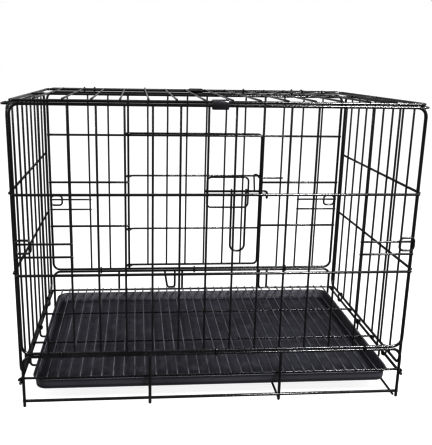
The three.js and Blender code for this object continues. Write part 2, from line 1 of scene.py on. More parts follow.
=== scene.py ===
"""Folding wire dog crate: coated round wire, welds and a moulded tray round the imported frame.

Shapes are worked out in millimetres with the ground at z = 0 and are turned into the
frame's metres when a mesh is made.
"""

import math
import random

import bmesh
import bpy
from mathutils import Matrix, Vector


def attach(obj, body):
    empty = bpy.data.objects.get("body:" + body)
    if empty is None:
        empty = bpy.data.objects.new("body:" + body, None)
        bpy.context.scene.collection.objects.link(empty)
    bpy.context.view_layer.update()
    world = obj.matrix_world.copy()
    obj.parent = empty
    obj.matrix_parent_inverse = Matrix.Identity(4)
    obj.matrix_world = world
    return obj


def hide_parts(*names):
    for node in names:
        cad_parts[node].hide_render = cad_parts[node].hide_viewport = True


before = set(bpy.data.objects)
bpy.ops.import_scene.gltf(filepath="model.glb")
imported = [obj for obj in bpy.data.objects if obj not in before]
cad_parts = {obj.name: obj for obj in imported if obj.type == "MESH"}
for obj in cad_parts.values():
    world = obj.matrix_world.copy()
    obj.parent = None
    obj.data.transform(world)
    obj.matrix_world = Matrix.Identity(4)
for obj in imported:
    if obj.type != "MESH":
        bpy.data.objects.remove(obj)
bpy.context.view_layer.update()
rng = random.Random(41)

# ---- sizes: the places are the CAD's, and the bars and coating are a little thicker -----

SHIFT_Y = -5.1  # the CAD part's own shift, which centres it over the origin
FRAME_R = 2.0
BAR_R = 1.75
WIRE_R = 1.3
FLOOR_R = 1.1
RING_R = 1.2
CATCH_R = 1.4
POST_R = 1.75
WELD = 0.5  # how far welded wires sink into each other
GAP = 0.4  # between wires that move on each other
COATING = 0.1
THIN_ON_FRAME = 1.6  # from a frame wire's centre to its weld with a thinner wire

PANEL_HALF = 300
PANEL_Y = 200
PANEL_BOTTOM = 90
PANEL_TOP = 469
FRONT_TOP = 461
CORNER = 14
PITCH = 40
BAR_HALF = PANEL_HALF + 1.5
PAIR_INNER = PANEL_HALF - 2 * PITCH - 2
BACK_PAIR_Z = (246, 266)
FRONT_PAIR_Z = (222, 243)
SIDE_X = 304.5
SIDE_HALF = 189
SIDE_BOTTOM = 52.5
SIDE_TOP = 466
SIDE_SLOPE = 4.5
SIDE_PITCH = 42
BAR_HEIGHTS = [217.5, 340]
FRONT_BAR_HEIGHTS = [186, 279.5]
OPENING_TOP = 377

BASE_X = 300
HOOP_FOOT = 1.2
HOOP_TOP = 85
HOOP_CORNER = 14
GROUND_BAR_Z = 10
GROUND_BAR_R = 2.0
HOOP_UPRIGHT_X = 104
RAIL_X = 304.3
RAIL_Z = 41.5
RAIL_END = 203
CROSS_Z = 45.4
CROSS_Y = 193
CROSS_R = 1.5
FLOOR_WIRES = 34
FLOOR_HALF = 282
RUNNER_BACK_Y = -105
RUNNER_FRONT_Y = 10
RUNNER_R = 1.4
TIE_R = 1.4
TIE_Z = 2.4

TRAY_HALF = 289
TRAY_BACK = -193.5
TRAY_FRONT = 184
TRAY_TOP = 43.2
TRAY_BOTTOM = 24.6
TRAY_CORNER = 22
TRAY_GUTTER = 27
TRAY_FLOOR = 31.1

LID_Z = 466.5
LID_HALF = 298.5
LID_BACK = -200
LID_FRONT = 194.5
LID_SHIFT = -6
LID_LEAN = math.radians(1)
ROD_Y = 205.4
ROD_Z = 466.5
ROD_R = 2.8
ROD_HALF = 290
CURL_R = 4.3
CURL_WIRE_R = 1.1
STRAP_THICKNESS = 1.3
LID_WIRE_Z = LID_Z + FRAME_R + WIRE_R - WELD - 0.1
LID_BAR_Z = LID_WIRE_Z - WIRE_R - BAR_R + WELD
LID_CATCH_X = -4.5
LID_CATCH_LENGTH = 24

HINGE_X = -3.5 * PITCH
DOOR_Y = PANEL_Y + 4.3
DOOR_R = 1.75
DOOR_RIGHT = 137
DOOR_BOTTOM = 98
DOOR_TOP = 380
DOOR_BARS = (178, 292)
DOOR_BAR_R = 1.5
DOOR_BAR_Y = DOOR_Y + WIRE_R + DOOR_BAR_R - WELD
GUIDE_X = (25, 113)
GUIDE_Z = (223.5, 288.6)
GUIDE_R = 1.5
GUIDE_Y = DOOR_Y + WIRE_R + GUIDE_R + GAP
BOLT_R = 2
BOLT_Y = GUIDE_Y + GUIDE_R + GAP + BOLT_R
BOLT_Z = 257.5
BOLT_X = (20.5, 154.5)
BOLT_TIP = 16
STAPLE_R = 1.2
STAPLE_REACH = 3.9
HANDLE_X = (78, 109)
HANDLE_R = 1.8
HANDLE_EYE = 4.1
HANDLE_BOTTOM = 125

LONG_UPRIGHTS = [(i + 1) * PITCH - PANEL_HALF for i in range(14)]
SIDE_UPRIGHTS = [(i + 1) * SIDE_PITCH - SIDE_HALF for i in range(8)]
OPENING = [x for x in LONG_UPRIGHTS if abs(x) < abs(HINGE_X) - 1]  # the doorway's

X, Y, Z = Vector((1, 0, 0)), Vector((0, 1, 0)), Vector((0, 0, 1))


def v3(x, y, z):
    return Vector((x, y, z))


# ---- paths -----------------------------------------------------------------------


def rounded(corners, radius, steps=7, closed=False):
    """Points with each corner replaced by an arc."""
    out = []
    n = len(corners)
    for i, corner in enumerate(corners):
        if not closed and i in (0, n - 1):
            out.append(corner.copy())
            continue
        into = (corner - corners[i - 1]).normalized()
        away = (corners[(i + 1) % n] - corner).normalized()
        turn = into.angle(away)
        start = corner - into * (radius * math.tan(turn / 2))
        inward = (away - into * away.dot(into)).normalized()
        centre = start + inward * radius
        for k in range(steps + 1):
            a = turn * k / steps
            out.append(centre - inward * (radius * math.cos(a)) + into * (radius * math.sin(a)))
    return out


def arc(centre, along, up, radius, start, end, steps):
    """Points on an arc in the plane of two unit vectors, angles in degrees."""
    out = []
    for k in range(steps + 1):
        a = math.radians(start + (end - start) * k / steps)
        out.append(centre + along * (radius * math.cos(a)) + up * (radius * math.sin(a)))
    return out


def wavy(start, end, amount, pieces=6):
    """A wire that isn't quite straight: its points stray a little, and its ends don't."""
    direction = (end - start).normalized()
    side = direction.orthogonal().normalized()
    other = direction.cross(side)
    phase = [rng.uniform(0, 2 * math.pi) for _ in range(2)]
    out = []
    for k in range(pieces + 1):
        t = k / pieces
        bow = math.sin(math.pi * t)
        stray = side * math.sin(phase[0] + 2.3 * t) + other * math.sin(phase[1] + 3.1 * t)
        out.append(start.lerp(end, t) + stray * (amount * bow))
    return out


# ---- meshes ----------------------------------------------------------------------

DOME = ((0.42, 0.8), (0.62, 0.45))  # a wire's rounded end: reach and width, in radii


class Shape:
    """Vertices and faces in millimetres, gathered into one mesh."""

    def __init__(self):
        self.points = []
        self.faces = []
        self.painted_sheen_from = None  # the first face of a second material, a paler copy of the coating that paints a sheen

    def ring(self, corners):
        first = len(self.points)
        self.points.extend(corners)
        return list(range(first, first + len(corners)))

    def bridge(self, a, b):
        n = len(a)
        for k in range(n):
            m = (k + 1) % n
            self.faces.append((a[k], b[k], b[m], a[m]))

    def wire(self, path, radius, sides=10, closed=False):
        """A round wire along a path, with rounded ends and its coating on top."""
        radius += COATING
        n = len(path)
        count = n if closed else n - 1
        steps = [(path[(i + 1) % n] - path[i]).normalized() for i in range(count)]
        first = steps[-1] if closed else steps[0]
        plane = Vector()
        for a, b in zip(steps, steps[1:]):
            plane += a.cross(b)
        if plane.length < 1e-6:
            plane = Y.copy() if abs(first.y) < 0.5 else Z.copy()
        normal = (plane - first * plane.dot(first)).normalized()
        rings = []
        if not closed:
            for lift, share in reversed(DOME):
                centre = path[0] - first * (radius * lift)
                rings.append(self.section(centre, normal, first, first, radius * share, sides))
        for i, point in enumerate(path):
            before = steps[i - 1] if closed or i else steps[0]
            after = steps[i] if closed or i < n - 1 else steps[-1]
            rings.append(self.section(point, normal, before, after, radius, sides))
            normal = before.rotation_difference(after) @ normal
        if not closed:
            last = steps[-1]
            for lift, share in DOME:
                centre = path[-1] + last * (radius * lift)
                rings.append(self.section(centre, normal, last, last, radius * share, sides))
        for a, b in zip(rings, rings[1:]):
            self.bridge(a, b)
        if closed:
            self.bridge(rings[-1], rings[0])
        else:
            self.faces.append(tuple(rings[0]))
            self.faces.append(tuple(reversed(rings[-1])))
        return self

    def section(self, point, normal, before, after, radius, sides):
        mitre = (before + after).normalized()
        side = before.cross(normal)
        corners = []
        for k in range(sides):
            a = 2 * math.pi * k / sides
            corner = normal * (radius * math.cos(a)) + side * (radius * math.sin(a))
            corners.append(point + corner - before * (corner.dot(mitre) / before.dot(mitre)))
        return self.ring(corners)

    def nugget(self, centre, a, b, radii, lats=5, lons=8):
        """The bulge of coating and weld metal where two wires cross."""
        c = a.cross(b).normalized()
        rings = []
        for i in range(1, lats):
            t = math.pi * i / lats
            row = []
            for k in range(lons):
                u = 2 * math.pi * k / lons
                row.append(
                    centre
                    + a * (radii[0] * math.sin(t) * math.cos(u))
                    + b * (radii[1] * math.sin(t) * math.sin(u))
                    + c * (radii[2] * math.cos(t))
                )
            rings.append(self.ring(row))
        top = self.ring([centre + c * radii[2]])[0]
        bottom = self.ring([centre - c * radii[2]])[0]
        for p, q in zip(rings, rings[1:]):
            self.bridge(p, q)
        for k in range(lons):
            m = (k + 1) % lons
            self.faces.append((top, rings[0][k], rings[0][m]))
            self.faces.append((bottom, rings[-1][m], rings[-1][k]))

    def lean(self):
        """Tip the lid, laid out flat, about its hinge rod until it rests on the back panel."""
        tip = Matrix.Rotation(-LID_LEAN, 3, "X")
        rod_place = v3(0, ROD_Y, ROD_Z)
        self.points = [rod_place + tip @ (p - rod_place) for p in self.points]
        return self

    def weld(self, x, y, z, a, b, ra, rb):
        """A weld between wires of radius ra along a and rb along b, where they touch."""
        spread = 1.35 * rng.uniform(0.92, 1.12)
        self.nugget(v3(x, y, z), a, b, (rb * spread, ra * spread, 0.62 * min(ra, rb)))

    def object(self, name, material, body, node, slot="coated_wire"):
        points = [(p.x / 1000, (p.y + SHIFT_Y) / 1000, p.z / 1000) for p in self.points]
        mesh = bpy.data.meshes.new(name)
        mesh.from_pydata(points, [], self.faces)
        bm = bmesh.new()
        bm.from_mesh(mesh)
        bmesh.ops.recalc_face_normals(bm, faces=bm.faces)
        bm.to_mesh(mesh)
        bm.free()
        mesh.polygons.foreach_set("use_smooth", [True] * len(mesh.polygons))
        for each in material if isinstance(material, tuple) else (material,):
            mesh.materials.append(each)
        if self.painted_sheen_from is not None:
            slots = [int(i >= self.painted_sheen_from) for i in range(len(mesh.polygons))]
            mesh.polygons.foreach_set("material_index", slots)
        made = bpy.data.objects.new(name, mesh)
        bpy.context.scene.collection.objects.link(made)
        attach(made, body)
        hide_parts(node)
        return made


# ---- materials -------------------------------------------------------------------


class Nodes:
    """Short calls for building a material's nodes."""

    def __init__(self, name):
        self.material = bpy.data.materials.new(name)
        self.material.use_nodes = True
        self.tree = self.material.node_tree
        self.shader = self.tree.nodes["Principled BSDF"]
        self.place = self.tree.nodes.new("ShaderNodeTexCoord").outputs["Object"]

    def set(self, **values):
        for key, value in values.items():
            self.shader.inputs[key.replace("_", " ")].default_value = value

    def link(self, output, socket):
        self.tree.links.new(output, self.shader.inputs[socket])

    def mapped(self, scale):
        node = self.tree.nodes.new("ShaderNodeMapping")
        node.inputs["Scale"].default_value = scale
        self.tree.links.new(self.place, node.inputs["Vector"])
        return node.outputs["Vector"]

    def noise(self, scale, detail=2.0, roughness=0.5, vector=None):
        node = self.tree.nodes.new("ShaderNodeTexNoise")
        node.inputs["Scale"].default_value = scale
        node.inputs["Detail"].default_value = detail
        node.inputs["Roughness"].default_value = roughness
        self.tree.links.new(vector or self.place, node.inputs["Vector"])
        return node.outputs["Fac"]

    def spread(self, value, low, high, start=0.0, end=1.0):
        """value from low..high to start..end, clamped."""
        node = self.tree.nodes.new("ShaderNodeMapRange")
        for key, number in zip(("From Min", "From Max", "To Min", "To Max"), (low, high, start, end)):
            node.inputs[key].default_value = number
        self.tree.links.new(value, node.inputs["Value"])
        return node.outputs["Result"]

    def math(self, operation, a, b):
        node = self.tree.nodes.new("ShaderNodeMath")
        node.operation = operation
        for socket, value in zip(node.inputs, (a, b)):
            if isinstance(value, (int, float)):
                socket.default_value = value
            else:
                self.tree.links.new(value, socket)
        return node.outputs[0]

    def mix(self, factor, a, b):
        node = self.tree.nodes.new("ShaderNodeMix")
        node.data_type = "RGBA"
        self.tree.links.new(factor, node.inputs[0])
        for socket, value in ((node.inputs[6], a), (node.inputs[7], b)):
            if isinstance(value, tuple):
                socket.default_value = (*value, 1)
            else:
                self.tree.links.new(value, socket)
        return node.outputs[2]

    def facing_up(self):
        geometry = self.tree.nodes.new("ShaderNodeNewGeometry")
        parts = self.tree.nodes.new("ShaderNodeSeparateXYZ")
        self.tree.links.new(geometry.outputs["Normal"], parts.inputs[0])
        return parts.outputs["Z"]

    def height(self):
        """Height above the ground, in metres."""
        parts = self.tree.nodes.new("ShaderNodeSeparateXYZ")
        self.tree.links.new(self.place, parts.inputs[0])
        return parts.outputs["Z"]

    def bump(self, *layers):
        """Bumps laid one on another, each a height, a strength and a distance in metres."""
        normal = None
        for height, strength, distance in layers:
            node = self.tree.nodes.new("ShaderNodeBump")
            node.inputs["Strength"].default_value = strength
            node.inputs["Distance"].default_value = distance
            self.tree.links.new(height, node.inputs["Height"])
            if normal is not None:
                self.tree.links.new(normal, node.inputs["Normal"])
            normal = node.outputs["Normal"]
        self.link(normal, "Normal")


def coated_wire(name, dark, light, rough, coat):
    """Black baked coating: orange peel, drawn-wire streaks, and a little dust on top."""
    m = Nodes(name)
    m.set(IOR=1.48, Specular_IOR_Level=0.5, Coat_Weight=coat, Coat_Roughness=0.12)
    patches = m.noise(22, 3)
    fine = m.noise(420, 3)
    shade = m.mix(m.spread(patches, 0.35, 0.68), dark, light)
    dust = m.math("MULTIPLY", m.spread(m.facing_up(), 0.55, 0.98), m.spread(fine, 0.5, 0.72))
    dust = m.math("MULTIPLY", dust, m.spread(patches, 0.42, 0.75, 0.05, 0.5))
    m.link(m.mix(dust, shade, (0.17, 0.17, 0.175)), "Base Color")
    scuffs = m.noise(160, 4, 0.65, m.mapped((1, 1, 0.25)))
    polish = m.spread(scuffs, 0.35, 0.7, rough, rough + 0.17)
    m.link(m.math("ADD", polish, m.math("MULTIPLY", dust, 0.4)), "Roughness")
    m.bump((m.noise(900, 2), 0.22, 0.00012), (m.noise(190, 2), 0.25, 0.0003))
    return m.material


def tray_plastic(name):
    """Moulded plastic: a fine grain, flow marks and scuffs, with painted shade: a darker colour on the
    upward-facing floor and a dark band low in the gutter.
    """
    m = Nodes(name)
    m.set(IOR=1.5, Specular_IOR_Level=0.45)
    clouds = m.noise(9, 3)
    streaks = m.noise(30, 4, 0.6, m.mapped((0.22, 3.2, 1)))
    grain = m.noise(2300, 2)
    # The walls and the upward-facing floor are lit and shaded copies of one plastic: the floor's darker
    # colour is painted shade.
    wall = m.mix(m.spread(clouds, 0.35, 0.68), (0.082, 0.082, 0.090), (0.102, 0.102, 0.114))
    floor = m.mix(m.spread(clouds, 0.35, 0.68), (0.032, 0.032, 0.038), (0.046, 0.046, 0.055))
    shade = m.mix(m.spread(m.facing_up(), 0.55, 0.9), wall, floor)
    shade = m.mix(m.spread(streaks, 0.55, 0.8, 0, 0.4), shade, (0.069, 0.069, 0.081))
    scratch = m.noise(260, 5, 0.75, m.mapped((0.12, 1, 1)))
    marks = m.spread(scratch, 0.64, 0.72, 0, 0.35)
    specks = m.spread(m.noise(55, 5), 0.48, 0.8, 0, 0.3)
    dust = m.math("MULTIPLY", m.spread(m.facing_up(), 0.8, 1.0), specks)
    shade = m.mix(marks, shade, (0.086, 0.086, 0.097))
    shade = m.mix(dust, shade, (0.130, 0.130, 0.137))
    # Painted shade: the gutter is darkened below the raised floor's height, where the rim's shadow falls.
    top = (TRAY_FLOOR - 0.5) / 1000
    gutter = m.spread(m.height(), top, top - 0.0012, 0, 0.55)
    m.link(m.mix(gutter, shade, (0.02, 0.02, 0.026)), "Base Color")
    polish = m.spread(streaks, 0.3, 0.75, 0.42, 0.6)
    m.link(m.math("ADD", polish, m.math("MULTIPLY", dust, 0.4)), "Roughness")
    m.bump((grain, 0.3, 0.00012), (scratch, 0.12, 0.0001), (clouds, 0.2, 0.0006))
    return m.material


def catch_plastic(name):
    """Hard black plastic with soft moulding flow and an uneven gloss."""
    m = Nodes(name)
    m.set(IOR=1.5, Coat_Weight=0.25, Coat_Roughness=0.08)
    flow = m.noise(70, 3, 0.5, m.mapped((0.4, 1, 2)))
    fine = m.noise(900, 3)
    m.link(m.mix(m.spread(flow, 0.35, 0.7), (0.01, 0.01, 0.012), (0.03, 0.03, 0.033)), "Base Color")
    m.link(m.spread(fine, 0.3, 0.7, 0.17, 0.32), "Roughness")
    m.bump((fine, 0.15, 0.0001), (flow, 0.2, 0.0004))
    return m.material


FRAME_COAT = coated_wire("frame_coat", (0.007, 0.007, 0.008), (0.016, 0.016, 0.018), 0.2, 0.2)
WIRE_COAT = coated_wire("wire_coat", (0.009, 0.009, 0.01), (0.018, 0.018, 0.02), 0.22, 0.2)
# The thin floor wires use the same black coating made grey: a painted highlight, not a different wire.
FLOOR_COAT_PAINTED_SHEEN = coated_wire("floor_coat_painted_sheen", (0.055, 0.055, 0.061), (0.105, 0.105, 0.115), 0.3, 0.1)
TRAY_PLASTIC = tray_plastic("tray_plastic")
CATCH_PLASTIC = catch_plastic("catch_plastic")


# ---- panels ------------------------------------------------------------------------


def rectangle(x0, x1, z0, z1, y):
    return [v3(x0, y, z0), v3(x1, y, z0), v3(x1, y, z1), v3(x0, y, z1)]


def upright(shape, x, y, z0, z1, radius, stray):
    shape.wire(wavy(v3(x, y, z0), v3(x, y, z1), stray), radius)


def across(shape, x0, x1, y, z, radius):
    shape.wire([v3(x0, y, z), v3(x1, y, z)], radius)


def long_panel(facing, full, short, bars, pair_heights, outside):
    """A long panel: its frame, its uprights and its bars. outside is 1 if the bars lie
    on the panel's outer side and -1 if they lie inside. Short uprights stand above the
    doorway, and the uprights beside it are its thicker posts."""
    shape = Shape()
    y = facing * PANEL_Y
    top = FRONT_TOP if facing > 0 else PANEL_TOP
    outline = rectangle(-PANEL_HALF, PANEL_HALF, PANEL_BOTTOM, top, y)
    shape.wire(rounded(outline, CORNER, 8, True), FRAME_R, 12, True)
    bar_y = y + facing * outside * (WIRE_R + BAR_R - WELD)
    pair_y = y + facing * outside * (2 * WIRE_R - WELD)
    touch = y + facing * outside * (WIRE_R - WELD / 2)
    frame_touch = y + facing * outside * THIN_ON_FRAME
    posts = (HINGE_X, -HINGE_X) if short else ()
    uprights = [(x, PANEL_BOTTOM, POST_R if x in posts else WIRE_R) for x in full]
    uprights += [(x, OPENING_TOP - 2, WIRE_R) for x in short]
    for x, foot, radius in uprights:
        upright(shape, x, y, foot, top, radius, 0.2)
        shape.weld(x, y, top - THIN_ON_FRAME, X, Y, radius, radius)
        if foot == PANEL_BOTTOM:
            shape.weld(x, y, PANEL_BOTTOM + THIN_ON_FRAME, X, Y, radius, radius)
    for x0, x1, z in bars:
        across(shape, x0, x1, bar_y, z, BAR_R)
        for x, foot, radius in uprights:
            if x0 - 2 <= x <= x1 + 2 and z > foot:
                shape.weld(x, touch, z, X, Z, BAR_R, radius)
        for side in (-1, 1):
            if x0 < side * PANEL_HALF < x1:
                shape.weld(side * PANEL_HALF, frame_touch, z, X, Z, BAR_R, FRAME_R)
    for z in pair_heights:
        for side in (-1, 1):
            ends = sorted((side * BAR_HALF, side * PAIR_INNER))
            across(shape, ends[0], ends[1], pair_y, z, WIRE_R)
            shape.weld(side * PANEL_HALF, frame_touch, z, X, Z, WIRE_R, FRAME_R)
            for x in full:
                if ends[0] <= x <= ends[1]:
                    shape.weld(x, touch, z, X, Z, WIRE_R, WIRE_R)
    return shape


def side_top(y):
    """Height of a side panel's top wire, which slopes down to the front."""
    return SIDE_TOP - SIDE_SLOPE * (y + SIDE_HALF) / (2 * SIDE_HALF)


def side_panel(side):
    """A side panel: frame, uprights, two bars outside, and a loop by its upper back corner."""
    shape = Shape()
    x = side * SIDE_X
    corners = [v3(x, y, SIDE_BOTTOM) for y in (-SIDE_HALF, SIDE_HALF)]
    corners += [v3(x, y, side_top(y)) for y in (SIDE_HALF, -SIDE_HALF)]
    shape.wire(rounded(corners, CORNER, 8, True), FRAME_R, 12, True)
    bar_x = x + side * (WIRE_R + BAR_R - WELD)
    touch = x + side * (WIRE_R - WELD / 2)
    for y in SIDE_UPRIGHTS:
        upright(shape, x, y, SIDE_BOTTOM, side_top(y), WIRE_R, 0.2)
        for z in (SIDE_BOTTOM + THIN_ON_FRAME, side_top(y) - THIN_ON_FRAME):
            shape.weld(x, y, z, X, Y, WIRE_R, WIRE_R)
    for z in BAR_HEIGHTS:
        shape.wire([v3(bar_x, -SIDE_HALF - 1, z), v3(bar_x, SIDE_HALF + 1, z)], BAR_R)
        for y in SIDE_UPRIGHTS:
            shape.weld(touch, y, z, Y, Z, BAR_R, WIRE_R)
        for end in (-1, 1):
            shape.weld(x + side * THIN_ON_FRAME, end * SIDE_HALF, z, Y, Z, BAR_R, FRAME_R)
    loop_z = SIDE_TOP + 1.2
    reach = side * (SIDE_X + 10)
    loop = [v3(u, -SIDE_HALF + 38, loop_z) for u in (x, reach)]
    loop += [v3(u, -SIDE_HALF + 13, loop_z) for u in (reach, x)]
    shape.wire(rounded(loop, 4, 6), CATCH_R)
    return shape


def corner_catch(side, facing, heights):
    """The flat loop that hooks a long panel to a side panel, beside the wire pair."""
    shape = Shape()
    middle = sum(heights) / 2 + 7
    y = facing * (PANEL_Y + 2 * WIRE_R - WELD + WIRE_R + GAP + CATCH_R)
    outer, inner = side * (PANEL_HALF + 0.3), side * (PANEL_HALF - 22)
    corners = rectangle(outer, inner, middle - 10, middle + 10, y)
    shape.wire(rounded(corners, 6, 7, True), CATCH_R, 10, True)
    return shape


def back_panel():
    bars = [(-BAR_HALF, BAR_HALF, z) for z in BAR_HEIGHTS]
    return long_panel(-1, LONG_UPRIGHTS, [], bars, BACK_PAIR_Z, 1)


def front_panel():
    beside = [x for x in LONG_UPRIGHTS if x not in OPENING]
    bars = [(-BAR_HALF, BAR_HALF, OPENING_TOP)]
    for z in FRONT_BAR_HEIGHTS:
        bars += [(-BAR_HALF, HINGE_X + 1, z), (-HINGE_X - 1, BAR_HALF, z)]
    return long_panel(1, beside, OPENING, bars, FRONT_PAIR_Z, -1)


back_panel().object("back_grille", FRAME_COAT, "back", "back_panel")
front_panel().object("front_grille", FRAME_COAT, "front", "front_panel")
for name, side in (("left", -1), ("right", 1)):
    side_panel(side).object(f"{name}_grille", FRAME_COAT, f"{name}_side", f"{name}_side_panel")
    for body, facing, heights in (("back", -1, BACK_PAIR_Z), ("front", 1, FRONT_PAIR_Z)):
        catch = corner_catch(side, facing, heights)
        catch.object(f"{body}_{name}_catch_wire", WIRE_COAT, body, f"{body}_{name}_corner_catch")

# ---- base --------------------------------------------------------------------------


def hoop(y):
    """An upside-down U of frame wire standing on the ground, with a low bar across it."""
    shape = Shape()
    corners = [v3(-BASE_X, y, z) for z in (HOOP_FOOT, HOOP_TOP)]
    corners += [v3(BASE_X, y, z) for z in (HOOP_TOP, HOOP_FOOT)]
    shape.wire(rounded(corners, HOOP_CORNER, 8), FRAME_R, 12)
    across(shape, -BASE_X, BASE_X, y, GROUND_BAR_Z, GROUND_BAR_R)
    for side in (-1, 1):
        shape.weld(side * BASE_X, y, GROUND_BAR_Z, X, Y, 2.1, 2.1)
    return shape


def back_hoop():
    shape = hoop(-PANEL_Y)
    for x in (-HOOP_UPRIGHT_X, HOOP_UPRIGHT_X):
        shape.wire([v3(x, -PANEL_Y, HOOP_FOOT), v3(x, -PANEL_Y, HOOP_TOP)], FRAME_R, 12)
        for z in (GROUND_BAR_Z, HOOP_TOP - 1.8):
            shape.weld(x, -PANEL_Y, z, X, Y, FRAME_R, FRAME_R)
    return shape


def front_hoop():
    """The hoop over the tray's slot, with four short uprights and one narrow bent U."""
    shape = hoop(PANEL_Y)
    foot = TRAY_TOP + 2.3
    for x in (-162, -26, 143, 160):
        upright(shape, x, PANEL_Y, foot, HOOP_TOP, BAR_R, 0.1)
        shape.weld(x, PANEL_Y, HOOP_TOP - 1.8, X, Y, 1.6, 1.6)
    bend = foot + BAR_R
    bent = [v3(x, PANEL_Y, z) for x, z in ((-64, HOOP_TOP), (-58, bend), (-42, bend), (-42, HOOP_TOP))]
    shape.wire(rounded(bent, 5, 6), BAR_R)
    return shape


def base_rail(side):
    shape = Shape()
    shape.wire([v3(side * RAIL_X, end * (RAIL_END - 1), RAIL_Z) for end in (-1, 1)], FRAME_R, 12)
    return shape


def floor_grid():
    """Four cross wires bent over the rails, and the thin wires welded on top of them."""
    shape = Shape()
    cross_ys = [-CROSS_Y + k * 2 * CROSS_Y / 3 for k in range(4)]
    bend = FRAME_R + CROSS_R + GAP
    for y in cross_ys:
        left = arc(v3(-RAIL_X, y, RAIL_Z), -X, Z, bend, 5, 90, 7)
        right = arc(v3(RAIL_X, y, RAIL_Z), X, Z, bend, 90, 5, 7)
        shape.wire(left + right, CROSS_R, 10)
    # the thin wires from here on take the paler copy of the coating: painted highlight
    shape.painted_sheen_from = len(shape.faces)
    thin_z = CROSS_Z + CROSS_R + FLOOR_R - WELD
    for i in range(FLOOR_WIRES):
        x = -FLOOR_HALF + i * 2 * FLOOR_HALF / (FLOOR_WIRES - 1)
        ends = []
        for facing in (-1, 1):
            end_x = x + rng.uniform(-0.5, 0.5)
            reach = CROSS_Y + 1.6 + rng.uniform(-0.7, 0.5)
            ends.append(v3(end_x, facing * reach, thin_z))
        shape.wire(wavy(ends[0], ends[1], 0.18, 9), FLOOR_R, 8)
        for y in cross_ys:
            shape.weld(x, y, CROSS_Z + CROSS_R - WELD / 2, X, Y, CROSS_R, FLOOR_R)
    return shape


def tray_runner(y):
    """A wire hung from both rails by its eyes, which the tray slides on."""
    shape = Shape()
    eye = FRAME_R + GAP + RUNNER_R
    top, bottom = RAIL_Z - eye, TRAY_BOTTOM - GAP - RUNNER_R
    corners = [v3(x, y, z) for x, z in ((-RAIL_X, top), (-RAIL_X, bottom), (RAIL_X, bottom), (RAIL_X, top))]
    shape.wire(rounded(corners, 5, 6), RUNNER_R)
    for side in (-1, 1):
        shape.wire(arc(v3(side * RAIL_X, y, RAIL_Z), X, Z, eye, 0, 342, 19), RUNNER_R, 10, True)
    return shape


def ground_tie(x):
    """A wire along the ground from the back hoop, hooked round the front hoop's low bar."""
    shape = Shape()
    bend = GROUND_BAR_R + TIE_R + GAP
    path = [v3(x, -PANEL_Y + FRAME_R + GAP + 0.8, TIE_Z), v3(x, PANEL_Y - 16, TIE_Z)]
    path += arc(v3(x, PANEL_Y, GROUND_BAR_Z), Y, Z, bend, -100, 128, 14)
    shape.wire(path, TIE_R)
    return shape


back_hoop().object("back_hoop_wire", FRAME_COAT, "base", "back_base_hoop")
front_hoop().object("front_hoop_wire", FRAME_COAT, "base", "front_base_hoop")
for name, side in (("left", -1), ("right", 1)):
    base_rail(side).object(f"{name}_rail_wire", FRAME_COAT, "base", f"{name}_base_rail")
floor_grid().object("floor_wires", (FRAME_COAT, FLOOR_COAT_PAINTED_SHEEN), "base", "floor_grid")
for name, y in (("back", RUNNER_BACK_Y), ("front", RUNNER_FRONT_Y)):
    tray_runner(y).object(f"{name}_runner_wire", FRAME_COAT, "base", f"{name}_tray_runner")
for name, x in (("left", -HOOP_UPRIGHT_X), ("middle", HOOP_UPRIGHT_X), ("right", BASE_X - 4)):
    ground_tie(x).object(f"{name}_tie_wire", FRAME_COAT, "base", f"{name}_ground_tie")

# ---- hinge rings -------------------------------------------------------------------


def oval_ring(a, b, radius, axis):
    """A ring round two parallel wires, cut and closed on one side as the real ones are."""
    shape = Shape()
    along = (b - a).normalized()
    up = axis.cross(along)
    path = arc(a, along, up, radius, 90, 270, 9) + arc(b, along, up, radius, 270, 450, 9)
    shape.wire(path, RING_R, 10, True)
    shape.nugget(a.lerp(b, 0.5) + up * radius, along, axis, (1.9, 1.4, 1.35))
    return shape


ring_radius = FRAME_R + GAP + RING_R
for panel, facing, reach in (("back", -1, 6 * PITCH), ("front", 1, 5 * PITCH)):
    for name, x in (("left", -reach), ("middle", 0), ("right", reach)):
        y = facing * PANEL_Y
        shape = oval_ring(v3(x, y, HOOP_TOP), v3(x, y, PANEL_BOTTOM), ring_radius, X)
        shape.object(f"{panel}_ring_wire_{name}", WIRE_COAT, "base", f"{panel}_hinge_ring_{name}")
for name, side in (("left", -1), ("right", 1)):
    for end, facing in (("back", -1), ("front", 1)):
        y = 3 * SIDE_PITCH * facing
        shape = oval_ring(v3(side * RAIL_X, y, RAIL_Z), v3(side * SIDE_X, y, SIDE_BOTTOM), ring_radius, Y)
        shape.object(f"{name}_ring_wire_{end}", WIRE_COAT, "base", f"{name}_hinge_ring_{end}")

# ---- tray --------------------------------------------------------------------------


def tray_ring(shape, inset, z, steps=8):
    """A rounded rectangle inside the tray's outline."""
    r = max(TRAY_CORNER - inset, 11)
    x, y0, y1 = TRAY_HALF - inset, TRAY_BACK + inset, TRAY_FRONT - inset
    corners = [v3(-x, y0, z), v3(x, y0, z), v3(x, y1, z), v3(-x, y1, z)]
    return shape.ring(rounded(corners, r, steps, True))


